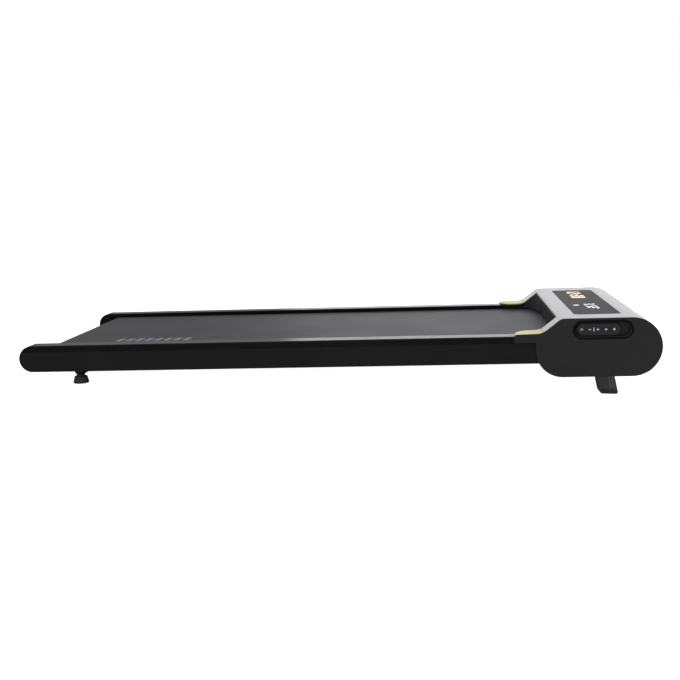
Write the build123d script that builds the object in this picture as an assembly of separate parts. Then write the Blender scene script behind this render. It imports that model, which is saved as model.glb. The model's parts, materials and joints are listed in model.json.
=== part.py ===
"""Under-desk walking treadmill with a low bridge-shaped head, folding front legs and a docked remote control.

Everything is drawn in the deck's own level frame: X runs from the rear tip to the head, Y to the walker's
left, and Z up from the underside of the rails. write() then tilts the whole machine nose up, so that its
front legs and its rear feet stand on one floor at Z = 0, under the middle of its length.
"""
import math
import os

from build123d import *

# Overall sizes, mm
LENGTH = 1240.0
RAIL_HALF = 260.0          # outer face of a side rail, from the centre plane
COVER_HALF = 264.0         # outer face of a head side cover
RAIL_HEIGHT = 52.0
RAIL_INNER = 222.0         # inner face of a side rail
SPLIT_Z = 39.0             # the steel side ends here and the top moulding starts
CAP_END_X = 27.8           # front edge of the rear end cap's visible part
STEEL = 2.0                # sheet thickness of the side frames
INCLINE = 2.2              # deg, nose up, on the unfolded front legs
FOOT_X = 115.0             # rear levelling foot
FOOT_Y = 236.0
FOOT_DROP = 27.2           # floor below the rails at the rear foot

# Head outline in the side view, mm
HEAD_REAR_X = 1008.0
ARM_TIP_X = 968.0
ARM_BOTTOM_Z = 39.8
ARM_TOP_Z = 57.0
HEAD_TOP_Z = 84.6
HEAD_BOTTOM_Z = -26.2
NOSE_R = (HEAD_TOP_Z - HEAD_BOTTOM_Z) / 2
NOSE_X = LENGTH - NOSE_R
NOSE_Z = HEAD_BOTTOM_Z + NOSE_R
SLOPE_FOOT_X = 1020.0
SLOPE_TOP_X = 1055.5
WALL = 3.0                 # thickness of the head's plastic shells
BRIDGE_X = 1051.5          # rear edge of the bridge over the belt
ACCENT_END_X = 1022.0
ARM_INNER = 210.0          # inner edge of the arms, over the belt's edge
ARM_FLARE = (30.0, 45.0)   # the arm's tip widens along and across by a quarter of an ellipse of this size
ENTRY_CORNER = (35.0, 140.0)   # the same for the belt's way in, at the bottom of the guard
FASCIA_TOP_Z = 50.0        # the dark tray rises up the nose to here
PLATE_Y = COVER_HALF - WALL

# Deck, belt and rollers, mm
BELT_TOP_Z = 44.0
BELT_THICKNESS = 1.8
BELT_HALF = 215.0
ROLLER_Z = 24.7
BELT_OUTER_R = BELT_TOP_Z - ROLLER_Z
BELT_INNER_R = BELT_OUTER_R - BELT_THICKNESS
ROLLER_R = BELT_INNER_R - 0.3
ROLLER_BORE_R = 14.0
ROLLER_HALF = 219.0
REAR_ROLLER_X = 55.0
FRONT_ROLLER_X = 1085.0
AXLE_R = 6.0
RUNNING_FIT = 0.05
BOARD_TOP_Z = BELT_TOP_Z - BELT_THICKNESS - 0.1
BOARD_THICKNESS = 15.0
BOARD_HALF = 236.0
BOARD_X = (82.0, 1046.0)
LEDGE_Z = 22.2
FLANGE_INNER = 224.0
TENSION_Y = 238.0
BRACKET_X = 40.0            # tension plate of the side frame
TENSION_REACH = 38.0        # length of a tension bolt
TUBE_X = (190.0, 470.0, 750.0, 1020.0)
CUSHION_X = (160.0, 380.0, 600.0, 820.0, 1010.0)

# Drive, mm
PULLEY_Y = (230.0, 248.0)
ROLLER_PULLEY_R = 28.0
MOTOR_PULLEY_R = 9.0
MOTOR_X = 1166.0
MOTOR_Z = 22.0
MOTOR_R = 34.0
MOTOR_Y = (28.0, 178.0)
FLYWHEEL_Y = (180.5, 191.5)
DRIVE_BELT_THICKNESS = 3.0

# Undercarriage, mm
PAN_Z = (HEAD_BOTTOM_Z + WALL, HEAD_BOTTOM_Z + WALL + 2.5)
LEG_PIVOT_X = 1137.5
LEG_PIVOT_Z = -14.4
LEG_HALF_WIDTH = 17.0
LEG_LEAN = 11.5            # deg, foot ahead of the pivot
LEG_Y = 212.0
LEG_HALF_DEPTH = 15.0
LEG_PAD = 7.0
PIN_R = 4.0
WHEEL_X = 1204.5
WHEEL_Z = 3.5
WHEEL_R = 26.0
WHEEL_Y = (232.0, 256.0)

# Display and power panel, mm
LENS_X = (1086.0, 1174.0)
LENS_HALF = 208.0
LENS_CORNER = 12.0
LENS_THICKNESS = 2.5
SEAM = 0.2                 # gap round a fitted piece
PANEL_Y = (-172.0, -73.0)
PANEL_Z = (-4.0, 42.0)
PANEL_BACK_X = 1222.0
PANEL_MID_Z = 19.0
INLET_Y = -152.0
ROCKER_Y = -117.0
BREAKER_Y = -90.0
ROCKER_DISH = 7.0          # deg, slope of each half of the rocker's face

# Remote control and its pocket on the right side, mm
POCKET_MID_X = 1131.0
POCKET_Z = 63.2
POCKET_RIM = (109.0, 33.0)
POCKET_HOLE = (103.6, 27.6)
REMOTE_MID_X = 1123.8
REMOTE_SIZE = (84.0, 27.0)
REMOTE_FACE_Y = -262.5
REMOTE_SPLIT_Y = -256.0
REMOTE_BACK_Y = -250.5
KEY_FIRST_X = 1092.1
KEY_PITCH = 14.8
KEY_R = 3.1

TILT = math.radians(INCLINE)
LIFT = FOOT_DROP * math.cos(TILT) - FOOT_X * math.sin(TILT)
REAR_TIP_R = RAIL_HEIGHT / 2
REAR_REACH = REAR_TIP_R * (math.cos(TILT) - math.sin(TILT)) - REAR_TIP_R
NOSE_REACH = NOSE_X * math.cos(TILT) - NOSE_Z * math.sin(TILT) + NOSE_R
MIDDLE = (REAR_REACH + NOSE_REACH) / 2
PLACE = Pos(-MIDDLE, 0, LIFT) * Rot(0, -INCLINE, 0)


def box(x, y, z):
    """A block between two limits on each axis."""
    middle = Pos((x[0] + x[1]) / 2, (y[0] + y[1]) / 2, (z[0] + z[1]) / 2)
    return middle * Box(x[1] - x[0], y[1] - y[0], z[1] - z[0])


def rod_y(x, z, radius, y):
    """A cylinder across the machine."""
    return Pos(x, (y[0] + y[1]) / 2, z) * Rot(90, 0, 0) * Cylinder(radius, y[1] - y[0])


def rod_x(y, z, radius, x):
    """A cylinder along the machine."""
    return Pos((x[0] + x[1]) / 2, y, z) * Rot(0, 90, 0) * Cylinder(radius, x[1] - x[0])


def rod_z(x, y, radius, z):
    """An upright cylinder."""
    return Pos(x, y, (z[0] + z[1]) / 2) * Cylinder(radius, z[1] - z[0])


def side_slab(face, y):
    """A side-view face given thickness between two Y limits."""
    return extrude(Plane.XZ.offset(-y[1]) * face, y[1] - y[0])


def side_slot(x, z, size, y):
    """A round-ended block in the side view."""
    return side_slab(Pos(x, z) * SlotOverall(*size), y)


def outline(points, radii):
    """A closed face with a radius at each corner."""
    return make_face(FilletPolyline(*points, radius=radii, close=True))


def mirrored(shape):
    """The right-hand twin of a left-hand piece."""
    return mirror(shape, about=Plane.XZ)


def both_sides(shape):
    """A left-hand piece and its right-hand twin in one group."""
    return Compound(children=[shape, mirrored(shape)])


def head_outline():
    """Side view of the head, with the arm that lies on the rail."""
    points = [
        (ARM_TIP_X, ARM_BOTTOM_Z),
        (HEAD_REAR_X, ARM_BOTTOM_Z),
        (HEAD_REAR_X, HEAD_BOTTOM_Z),
        (LENGTH, HEAD_BOTTOM_Z),
        (LENGTH, HEAD_TOP_Z),
        (SLOPE_TOP_X, HEAD_TOP_Z),
        (SLOPE_FOOT_X, ARM_TOP_Z),
        (ARM_TIP_X, ARM_TOP_Z - 1),
    ]
    return outline(points, [3.0, 1.0, 50.0, NOSE_R - 0.1, NOSE_R - 0.1, 18.0, 32.0, 6.0])


HEAD_FACE = head_outline()
INNER_FACE = offset(HEAD_FACE, -WALL)
HEAD_WIDE = (-PLATE_Y, PLATE_Y)


def head_skin():
    """The head's wall all round, between the two side covers."""
    return side_slab(HEAD_FACE, HEAD_WIDE) - side_slab(INNER_FACE, HEAD_WIDE)


def rail_end_profile(front_x):
    """Side view of a rail with its round rear end."""
    points = [(0, 0), (front_x, 0), (front_x, RAIL_HEIGHT), (0, RAIL_HEIGHT)]
    return outline(points, [REAR_TIP_R - 0.05, 0, 0, REAR_TIP_R - 0.05])


def side_frame():
    """Left steel frame: outer web, bottom flange, deck ledge, tension plate, foot boss and axle block."""
    web_y = (RAIL_HALF - STEEL, RAIL_HALF)
    inside = (FLANGE_INNER, RAIL_HALF - STEEL)
    low = box((0, HEAD_REAR_X + 10), web_y, (0, SPLIT_Z))
    web = side_slab(rail_end_profile(HEAD_REAR_X + 10), web_y) & low
    head_web = side_slab(INNER_FACE, web_y) & box((HEAD_REAR_X, 1218), web_y, (PAN_Z[1], SPLIT_Z - 1))
    flange = box((BRACKET_X, 1045), inside, (0, STEEL))
    ledge = box((BOARD_X[0], 1045), inside, (LEDGE_Z - STEEL, LEDGE_Z))
    plate = box((BRACKET_X, BRACKET_X + 4), inside, (0, SPLIT_Z - 1))
    nut = rod_z(FOOT_X, FOOT_Y, 8.0, (STEEL, 12))
    collar = rod_z(FOOT_X, FOOT_Y, 11.5, (-4.5, 0)) + Pos(FOOT_X, FOOT_Y, -6.75) * Cone(8.3, 11.5, 4.5)
    gusset = Polygon((FOOT_X, -8), (FOOT_X + 9, -8), (FOOT_X + 25, 0), (FOOT_X, 0), align=None)
    collar += side_slab(gusset, (FOOT_Y - 3, FOOT_Y + 3))
    block = box((FRONT_ROLLER_X - 12, FRONT_ROLLER_X + 12), (248.5, RAIL_HALF - STEEL), (10, SPLIT_Z - 1))
    frame = web + head_web + flange + ledge + plate + nut + collar + block
    frame -= rod_x(TENSION_Y, ROLLER_Z, PIN_R + RUNNING_FIT, (BRACKET_X - 1, BRACKET_X + 6))
    frame -= rod_z(FOOT_X, FOOT_Y, PIN_R + RUNNING_FIT, (-10, 13))
    frame -= rod_y(FRONT_ROLLER_X, ROLLER_Z, AXLE_R, (240, RAIL_HALF - STEEL))
    frame -= rod_y(WHEEL_X, WHEEL_Z, PIN_R, (250, RAIL_HALF + 1))
    return frame


def side_rail():
    """Left top moulding that the walker may step on: a cap over the frame and the deck's edge."""
    points = [
        (RAIL_INNER, RAIL_HEIGHT),
        (RAIL_HALF, RAIL_HEIGHT),
        (RAIL_HALF, SPLIT_Z),
        (RAIL_HALF - WALL, SPLIT_Z),
        (RAIL_HALF - WALL, RAIL_HEIGHT - WALL),
        (RAIL_INNER + WALL, RAIL_HEIGHT - WALL),
        (RAIL_INNER + WALL, BOARD_TOP_Z + 0.2),
        (RAIL_INNER, BOARD_TOP_Z + 0.2),
    ]
    section = outline(points, [2.0, 4.0, 0.4, 0.4, 1.0, 1.0, 0.4, 0.4])
    moulding = extrude(Plane.YZ.offset(CAP_END_X + SEAM) * section, HEAD_REAR_X + 4 - CAP_END_X - SEAM)
    rib = box((CAP_END_X + SEAM, HEAD_REAR_X - 45), (RAIL_HALF - 2, RAIL_HALF + 0.5), (46.2, 47.2))
    return moulding + rib


def rear_end_cap():
    """Left plastic cap in the rail's round rear end, with the way in to the tension bolt."""
    profile = rail_end_profile(BRACKET_X - 0.1)
    body = side_slab(profile, (RAIL_INNER, RAIL_HALF - STEEL - 0.1))
    top = side_slab(profile, (RAIL_HALF - STEEL - 0.2, RAIL_HALF)) & box(
        (-1, CAP_END_X), (RAIL_INNER, RAIL_HALF), (SPLIT_Z + 0.1, RAIL_HEIGHT))
    cap = body + top
    cap -= box((CAP_END_X, BRACKET_X), (0, RAIL_HALF), (SPLIT_Z - 0.1, RAIL_HEIGHT + 1))
    cap -= box((8, BRACKET_X), (RAIL_INNER + WALL, RAIL_HALF - STEEL - WALL), (WALL, SPLIT_Z - WALL))
    cap -= rod_x(TENSION_Y, ROLLER_Z, 8.0, (-1, 10))
    return cap


def cross_members():
    """Steel tubes that tie the two side frames together under the deck."""
    tubes = []
    for x in TUBE_X:
        tube = box((x - 12, x + 12), (-FLANGE_INNER, FLANGE_INNER), (11, 24))
        tubes.append(tube - box((x - 10, x + 10), (-FLANGE_INNER, FLANGE_INNER), (13, 22)))
    return Compound(children=tubes)


def deck_board():
    """The coated board that the belt slides on."""
    thick = (BOARD_TOP_Z - BOARD_THICKNESS, BOARD_TOP_Z)
    return box(BOARD_X, (-BOARD_HALF, BOARD_HALF), thick)


def deck_cushions():
    """Rubber blocks between the ledges and the board."""
    blocks = []
    for x in CUSHION_X:
        for y in (229.0, -229.0):
            height = (LEDGE_Z, BOARD_TOP_Z - BOARD_THICKNESS)
            blocks.append(box((x - 15, x + 15), (y - 5, y + 5), height))
    return Compound(children=blocks)


def round_loop(ends, radii, y):
    """The solid inside a belt round two wheels."""
    circles = [Pos(x, z) * Circle(radius) for (x, z), radius in zip(ends, radii)]
    return side_slab(make_hull(circles[0].edges() + circles[1].edges()), y)


def walking_belt():
    """The endless walking belt round both rollers and the board."""
    ends = [(REAR_ROLLER_X, ROLLER_Z), (FRONT_ROLLER_X, ROLLER_Z)]
    wide = (-BELT_HALF, BELT_HALF)
    outer = round_loop(ends, (BELT_OUTER_R, BELT_OUTER_R), wide)
    return outer - round_loop(ends, (BELT_INNER_R, BELT_INNER_R), wide)


def drive_belt():
    """The ribbed belt from the motor to the front roller."""
    ends = [(FRONT_ROLLER_X, ROLLER_Z), (MOTOR_X, MOTOR_Z)]
    inner = (ROLLER_PULLEY_R + 0.3, MOTOR_PULLEY_R + 0.3)
    outer = [radius + DRIVE_BELT_THICKNESS for radius in inner]
    wide = (PULLEY_Y[0] + 2, PULLEY_Y[1] - 2)
    return round_loop(ends, outer, wide) - round_loop(ends, inner, wide)


def roller_tube(x):
    """A plain steel roller, bored for a bearing at each end."""
    wide = (-ROLLER_HALF, ROLLER_HALF)
    return rod_y(x, ROLLER_Z, ROLLER_R, wide) - rod_y(x, ROLLER_Z, ROLLER_BORE_R, wide)


def front_roller():
    """The driven roller, with the sleeve that carries its pulley."""
    stub = rod_y(FRONT_ROLLER_X, ROLLER_Z, ROLLER_BORE_R, (216.5, ROLLER_HALF))
    stub += rod_y(FRONT_ROLLER_X, ROLLER_Z, 11.0, (ROLLER_HALF, PULLEY_Y[1]))
    stub -= rod_y(FRONT_ROLLER_X, ROLLER_Z, 7.0, (216, PULLEY_Y[1] + 1))
    return roller_tube(FRONT_ROLLER_X) + stub


def roller_bearings(x):
    """The two ball bearings of a roller."""
    ring = rod_y(x, ROLLER_Z, ROLLER_BORE_R, (208, 216))
    return both_sides(ring - rod_y(x, ROLLER_Z, AXLE_R + RUNNING_FIT, (207, 217)))


def roller_pulley():
    """Grooved pulley on the front roller, left side."""
    wheel = rod_y(FRONT_ROLLER_X, ROLLER_Z, ROLLER_PULLEY_R, PULLEY_Y)
    return wheel - rod_y(FRONT_ROLLER_X, ROLLER_Z, 11.0, PULLEY_Y)


def front_roller_axle():
    """Fixed steel axle of the front roller."""
    reach = RAIL_HALF - STEEL
    return rod_y(FRONT_ROLLER_X, ROLLER_Z, AXLE_R, (-reach, reach))


def rear_roller_axle():
    """Fixed steel axle of the rear roller, cross-drilled for the tension bolts."""
    axle = rod_y(REAR_ROLLER_X, ROLLER_Z, AXLE_R, (-TENSION_Y - 8, TENSION_Y + 8))
    for y in (TENSION_Y, -TENSION_Y):
        axle -= rod_x(y, ROLLER_Z, PIN_R + RUNNING_FIT, (REAR_ROLLER_X - 8, REAR_ROLLER_X + 8))
    return axle


def belt_tension_bolts():
    """Socket-head bolts that pull the rear axle back and keep the belt straight."""
    bolt = rod_x(TENSION_Y, ROLLER_Z, PIN_R, (BRACKET_X, BRACKET_X + TENSION_REACH))
    bolt += rod_x(TENSION_Y, ROLLER_Z, 6.5, (BRACKET_X - 8, BRACKET_X))
    socket = extrude(Plane.YZ.offset(BRACKET_X - 9) * Pos(TENSION_Y, ROLLER_Z) * RegularPolygon(3.4, 6), 5)
    return both_sides(bolt - socket)


def head_top_shell():
    """Pale bridge shell over the head, with the window for the display."""
    shell = head_skin() & box((ACCENT_END_X, LENGTH), HEAD_WIDE, (FASCIA_TOP_Z, HEAD_TOP_Z + 1))
    shell -= box((ACCENT_END_X - 1, BRIDGE_X), (-ARM_INNER, ARM_INNER), (FASCIA_TOP_Z - 1, HEAD_TOP_Z + 1))
    ledge_z = (HEAD_TOP_Z - LENS_THICKNESS - 2.7, HEAD_TOP_Z - LENS_THICKNESS - SEAM)
    shell += lens_block(4.0, ledge_z)
    shell -= lens_block(-4.0, (ledge_z[0] - 1, ledge_z[1] + 1))
    return shell - lens_block(SEAM, (ledge_z[1], HEAD_TOP_Z + 1))


def lens_block(margin, z):
    """The display's rounded rectangle, larger by a margin, between two heights."""
    middle_x = (LENS_X[0] + LENS_X[1]) / 2
    face = RectangleRounded(LENS_X[1] - LENS_X[0] + 2 * margin, 2 * (LENS_HALF + margin), LENS_CORNER + margin)
    return extrude(Pos(middle_x, 0, z[0]) * face, z[1] - z[0])


def display_lens():
    """Dark glossy window, a hair below the shell round it."""
    top = HEAD_TOP_Z - SEAM
    return lens_block(0, (top - LENS_THICKNESS, top))


def display_board():
    """Circuit board with the two LED blocks under the window."""
    board = box((LENS_X[0] + 6, LENS_X[1] - 6), (-LENS_HALF + 8, LENS_HALF - 8), (75, 76.6))
    digits = box((1113, 1147), (37, 195), (76.6, 79.2))
    symbols = box((1121, 1149), (-127, -39), (76.6, 79.2))
    return board + digits + symbols


def arm_plan(inset, z):
    """The left arm seen from above, narrow at its tip, drawn in by an inset."""
    along, across = ARM_FLARE
    middle = (ARM_TIP_X + along, ARM_INNER + across)
    flare = EllipticalCenterArc(middle, along - inset, across - inset, start_angle=180, arc_size=90)
    far = (FRONT_ROLLER_X, COVER_HALF + 1)
    sides = Polyline(flare @ 1, (far[0], ARM_INNER + inset), far, (ARM_TIP_X + inset, far[1]), flare @ 0)
    return extrude(Plane.XY.offset(z[0]) * make_face(flare + sides), z[1] - z[0])


def accent_strip():
    """Coloured strip on top of the left arm."""
    zone = arm_plan(0, (RAIL_HEIGHT + 0.6, HEAD_TOP_Z)) & box(
        (ARM_TIP_X, ACCENT_END_X - SEAM), (ARM_INNER, PLATE_Y), (RAIL_HEIGHT, HEAD_TOP_Z))
    return head_skin() & zone


def head_side_cover():
    """Flat left side of the head, with its arm along the rail."""
    plate = side_slab(HEAD_FACE, (PLATE_Y, COVER_HALF))
    rim = plate.faces().sort_by(Axis.Y)[-1].edges()
    return chamfer(rim, 1.0)


def right_side_cover():
    """The right side cover is the left one with the hole for the remote's pocket."""
    hole = [size + 2 * SEAM for size in POCKET_RIM]
    cover = mirrored(head_side_cover())
    return cover - side_slot(POCKET_MID_X, POCKET_Z, hole, (-COVER_HALF - 1, -PLATE_Y + 1))


def leg_slots(z, half):
    """Both openings that the front legs fold into."""
    return both_sides(box((1076, 1162), (LEG_Y - half, LEG_Y + half), z))


def wheel_arches():
    """Both openings round the transport wheels."""
    return both_sides(rod_y(WHEEL_X, WHEEL_Z, WHEEL_R + 2, (WHEEL_Y[0] - 1.5, WHEEL_Y[1] + 1.5)))


def screw_places():
    """Where the tray is screwed to the pan from below."""
    return [(x, y) for x in (1072.0, 1172.0) for y in (-170.0, -60.0, 60.0, 170.0)]


def head_bottom_tray():
    """Dark tray under the head, with the front fascia, leg slots and wheel arches."""
    tray = head_skin() & box((HEAD_REAR_X, LENGTH), HEAD_WIDE, (HEAD_BOTTOM_Z, FASCIA_TOP_Z - SEAM))
    tray -= box((HEAD_REAR_X - 1, 1062), HEAD_WIDE, (-1, FASCIA_TOP_Z))
    tray -= leg_slots((HEAD_BOTTOM_Z - 1, 0), LEG_HALF_DEPTH + 1.5)
    tray -= wheel_arches()
    tray -= box((PANEL_BACK_X - 2, LENGTH), [PANEL_Y[0] - SEAM, PANEL_Y[1] + SEAM],
                [PANEL_Z[0] - SEAM, PANEL_Z[1] + SEAM])
    for x, y in screw_places():
        tray -= rod_z(x, y, 4.0, (HEAD_BOTTOM_Z - 1, HEAD_BOTTOM_Z + 1.5))
        tray -= rod_z(x, y, 2.0, (HEAD_BOTTOM_Z, 0))
    return tray


def cover_screws():
    """Pan-head screws that hold the tray, the pan and the shells together."""
    screws = []
    for x, y in screw_places():
        screw = rod_z(x, y, 3.6, (HEAD_BOTTOM_Z, HEAD_BOTTOM_Z + 1.5))
        screws.append(screw + rod_z(x, y, 2.0, (HEAD_BOTTOM_Z + 1.5, PAN_Z[1] + 2.5)))
    return Compound(children=screws)


def motor_pan():
    """Steel floor of the head, with the motor's saddles and the transport wheels' brackets."""
    half = RAIL_HALF - STEEL
    pan = box((1062, 1184), (-half, half), PAN_Z)
    for y in (50.0, 156.0):
        pan += box((1140, 1184), (y - 5, y + 5), (PAN_Z[1], 0))
    pan -= rod_y(MOTOR_X, MOTOR_Z, MOTOR_R, MOTOR_Y)
    inside = side_slab(INNER_FACE, (226, 229))
    tab = inside & box((1165, 1217), (226, 229), (PAN_Z[1], 12))
    tab -= rod_y(WHEEL_X, WHEEL_Z, PIN_R, (225, 230))
    pan += tab + mirrored(tab)
    pan -= leg_slots((-30, -15), LEG_HALF_DEPTH + 1)
    for x, y in screw_places():
        pan -= rod_z(x, y, 2.0, (-30, 0))
    return pan


def entry_plan(z, corner):
    """The belt's way in seen from above, with front corners that reach along and across the machine."""
    along, across = corner
    back = ARM_TIP_X - 1
    middle_x = BRIDGE_X - along
    side = ARM_INNER - across
    right = EllipticalCenterArc((middle_x, -side), along, across, start_angle=270, arc_size=90)
    left = EllipticalCenterArc((middle_x, side), along, across, start_angle=0, arc_size=90)
    rest = Polyline(left @ 1, (back, ARM_INNER), (back, -ARM_INNER), right @ 0)
    return Plane.XY.offset(z) * make_face(right + Line(right @ 1, left @ 0) + left + rest)


def belt_entry_guard():
    """Dark wall over the belt's entry under the bridge, with a cheek along each arm."""
    bottom = BELT_TOP_Z + 2
    half = RAIL_INNER - SEAM
    zone = box((ARM_TIP_X, BRIDGE_X + WALL), (-half, half), (bottom, HEAD_TOP_Z))
    guard = side_slab(offset(HEAD_FACE, -WALL - SEAM), (-half, half)) & zone
    guard -= loft([entry_plan(bottom - 1, ENTRY_CORNER), entry_plan(HEAD_TOP_Z, (WALL, WALL))], ruled=True)
    arm = arm_plan(0, (bottom - 1, HEAD_TOP_Z)) - arm_plan(WALL, (bottom - 2, HEAD_TOP_Z + 1))
    middle = box((ARM_TIP_X + ARM_FLARE[0], BRIDGE_X + WALL), (-ARM_INNER, ARM_INNER), (bottom - 1, HEAD_TOP_Z))
    return guard & (middle + arm + mirrored(arm))


def motor_body():
    """Motor can with its two end bells."""
    can = rod_y(MOTOR_X, MOTOR_Z, MOTOR_R, MOTOR_Y)
    can -= rod_y(MOTOR_X, MOTOR_Z, MOTOR_R - 4, (MOTOR_Y[0] + 8, MOTOR_Y[1] - 8))
    return can - rod_y(MOTOR_X, MOTOR_Z, AXLE_R + RUNNING_FIT, (MOTOR_Y[0] - 1, MOTOR_Y[1] + 1))


def motor_rotor():
    """Armature and shaft."""
    shaft = rod_y(MOTOR_X, MOTOR_Z, AXLE_R, (MOTOR_Y[0] - 4, PULLEY_Y[1] + 2))
    return shaft + rod_y(MOTOR_X, MOTOR_Z, MOTOR_R - 9, (MOTOR_Y[0] + 20, MOTOR_Y[1] - 20))


def on_motor_shaft(radius, y):
    """A disc bored to sit on the motor's shaft."""
    return rod_y(MOTOR_X, MOTOR_Z, radius, y) - rod_y(MOTOR_X, MOTOR_Z, AXLE_R, y)


def control_board():
    """Motor controller: circuit board on posts, finned heatsink, two capacitors and a choke."""
    board_z = (-16.0, -14.4)
    pieces = [box((1110, 1182), (-188, 20), board_z)]
    for x in (1114, 1178):
        for y in (-184, 16):
            pieces.append(rod_z(x, y, 3.0, (PAN_Z[1], board_z[0])))
    heatsink = box((1114, 1150), (-182, -100), (board_z[1], 14))
    for x in range(1118, 1148, 6):
        heatsink -= box((x, x + 3.5), (-182, -100), (-8, 14))
    pieces.append(heatsink)
    for y in (-70, -46):
        pieces.append(rod_z(1164, y, 10.0, (board_z[1], 20)))
    pieces.append(box((1116, 1144), (-80, -40), (board_z[1], 8)))
    return Compound(children=pieces)


def power_panel():
    """Recessed dark panel in the front for the mains inlet, the switch and the circuit breaker."""
    recess = side_slab(HEAD_FACE, PANEL_Y) & box((PANEL_BACK_X, LENGTH), PANEL_Y, PANEL_Z)
    inner_y = (PANEL_Y[0] + 2, PANEL_Y[1] - 2)
    inner_z = (PANEL_Z[0] + 2, PANEL_Z[1] - 2)
    recess -= box((PANEL_BACK_X + 2.5, LENGTH + 1), inner_y, inner_z)
    front = (PANEL_BACK_X - 1, PANEL_BACK_X + 3)
    recess -= box(front, (INLET_Y - 13.5, INLET_Y + 13.5), (PANEL_MID_Z - 9.8, PANEL_MID_Z + 9.8))
    recess -= box(front, (ROCKER_Y - 7, ROCKER_Y + 7), (PANEL_MID_Z - 12.5, PANEL_MID_Z + 12.5))
    return recess - rod_x(BREAKER_Y, PANEL_MID_Z, 6.0, front)


def power_inlet():
    """Three-pin mains inlet."""
    face_x = PANEL_BACK_X + 2.5
    inlet = box((face_x - 22, face_x), (INLET_Y - 13.5, INLET_Y + 13.5), (PANEL_MID_Z - 9.8, PANEL_MID_Z + 9.8))
    inlet += box((face_x, face_x + 2), (INLET_Y - 16, INLET_Y + 16), (PANEL_MID_Z - 12.5, PANEL_MID_Z + 12.5))
    inlet -= box((face_x - 16, face_x + 3), (INLET_Y - 12, INLET_Y + 12), (PANEL_MID_Z - 8, PANEL_MID_Z + 8))
    for offset_y, offset_z in ((-7, -1.5), (0, 2.5), (7, -1.5)):
        y = INLET_Y + offset_y
        z = PANEL_MID_Z + offset_z
        inlet += box((face_x - 16, face_x - 4), (y - 1, y + 1), (z - 2, z + 2))
    return inlet


def rocker_centre_x():
    """The rocker turns about a line this far along the machine."""
    return PANEL_BACK_X - 5


def switch_housings():
    """Bodies of the rocker switch and of the circuit breaker."""
    face_x = PANEL_BACK_X + 2.5
    switch = box((face_x - 20, face_x), (ROCKER_Y - 7, ROCKER_Y + 7), (PANEL_MID_Z - 12.5, PANEL_MID_Z + 12.5))
    switch += box((face_x, face_x + 1.5), (ROCKER_Y - 8, ROCKER_Y + 8), (PANEL_MID_Z - 14, PANEL_MID_Z + 14))
    switch -= rod_y(rocker_centre_x(), PANEL_MID_Z, 10.8, (ROCKER_Y - 5.3, ROCKER_Y + 5.3))
    breaker = rod_x(BREAKER_Y, PANEL_MID_Z, 6.0, (face_x - 20, face_x))
    breaker += rod_x(BREAKER_Y, PANEL_MID_Z, 8.0, (face_x, face_x + 1.5))
    breaker -= rod_x(BREAKER_Y, PANEL_MID_Z, 3.65, (face_x - 12, face_x + 2))
    return Compound(children=[switch, breaker])


def power_rocker():
    """Two-position rocker with a shallow V across its face."""
    x = rocker_centre_x()
    rocker = rod_y(x, PANEL_MID_Z, 10.5, (ROCKER_Y - 5, ROCKER_Y + 5))
    rocker &= box((x - 2, x + 12), (ROCKER_Y - 6, ROCKER_Y + 6), (PANEL_MID_Z - 11, PANEL_MID_Z + 11))
    for side in (1, -1):
        half = Pos(0, 0, side * 7) * Pos(5, 0, 0) * Box(10, 12, 14)
        rocker -= Pos(x + 7.5, ROCKER_Y, PANEL_MID_Z) * Rot(0, side * ROCKER_DISH, 0) * half
    return rocker


def reset_button():
    """Push button of the circuit breaker."""
    return rod_x(BREAKER_Y, PANEL_MID_Z, 3.5, (PANEL_BACK_X - 5, PANEL_BACK_X + 8))


def remote_pocket():
    """Black cup with a rim, set in the right side cover, that holds the remote."""
    cup = side_slot(POCKET_MID_X, POCKET_Z, POCKET_RIM, (-COVER_HALF, -PLATE_Y))
    inner = [size - 1.4 for size in POCKET_RIM]
    cup += side_slot(POCKET_MID_X, POCKET_Z, inner, (-PLATE_Y, -PLATE_Y + 13.5))
    return cup - side_slot(POCKET_MID_X, POCKET_Z, POCKET_HOLE, (-COVER_HALF - 1, -PLATE_Y + 11.5))


def key_places():
    """The five keys, from the rear to the front."""
    return [KEY_FIRST_X + KEY_PITCH * number for number in range(5)]


def remote_front_shell():
    """Face of the remote, with a hole for each key."""
    hollow = [size - 3 for size in REMOTE_SIZE]
    shell = side_slot(REMOTE_MID_X, POCKET_Z, REMOTE_SIZE, (REMOTE_FACE_Y, REMOTE_SPLIT_Y))
    shell -= side_slot(REMOTE_MID_X, POCKET_Z, hollow, (REMOTE_FACE_Y + 1.5, REMOTE_SPLIT_Y))
    for x in key_places():
        shell -= rod_y(x, POCKET_Z, KEY_R + 0.15, (REMOTE_FACE_Y - 1, REMOTE_FACE_Y + 2))
    return shell


def remote_back_shell():
    """Back of the remote, that the battery lies in."""
    hollow = [size - 3 for size in REMOTE_SIZE]
    shell = side_slot(REMOTE_MID_X, POCKET_Z, REMOTE_SIZE, (REMOTE_SPLIT_Y, REMOTE_BACK_Y))
    return shell - side_slot(REMOTE_MID_X, POCKET_Z, hollow, (REMOTE_SPLIT_Y, REMOTE_BACK_Y - 1.5))


def remote_board():
    """The remote's circuit board and its coin cell."""
    board = side_slot(REMOTE_MID_X, POCKET_Z, [size - 3.4 for size in REMOTE_SIZE], (-258.4, -257.2))
    cell = rod_y(REMOTE_MID_X, POCKET_Z, 10.0, (-255.4, -252.2))
    return Compound(children=[board, cell])


def floor_z(x):
    """Height of the floor in the deck's frame."""
    return -(LIFT + x * math.sin(TILT)) / math.cos(TILT)


def below_floor(gap):
    """Everything under a line this far above the floor, in the deck's frame."""
    return PLACE.inverse() * Pos(0, 0, gap - 100) * Box(2 * LENGTH, 2 * COVER_HALF, 200)


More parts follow.
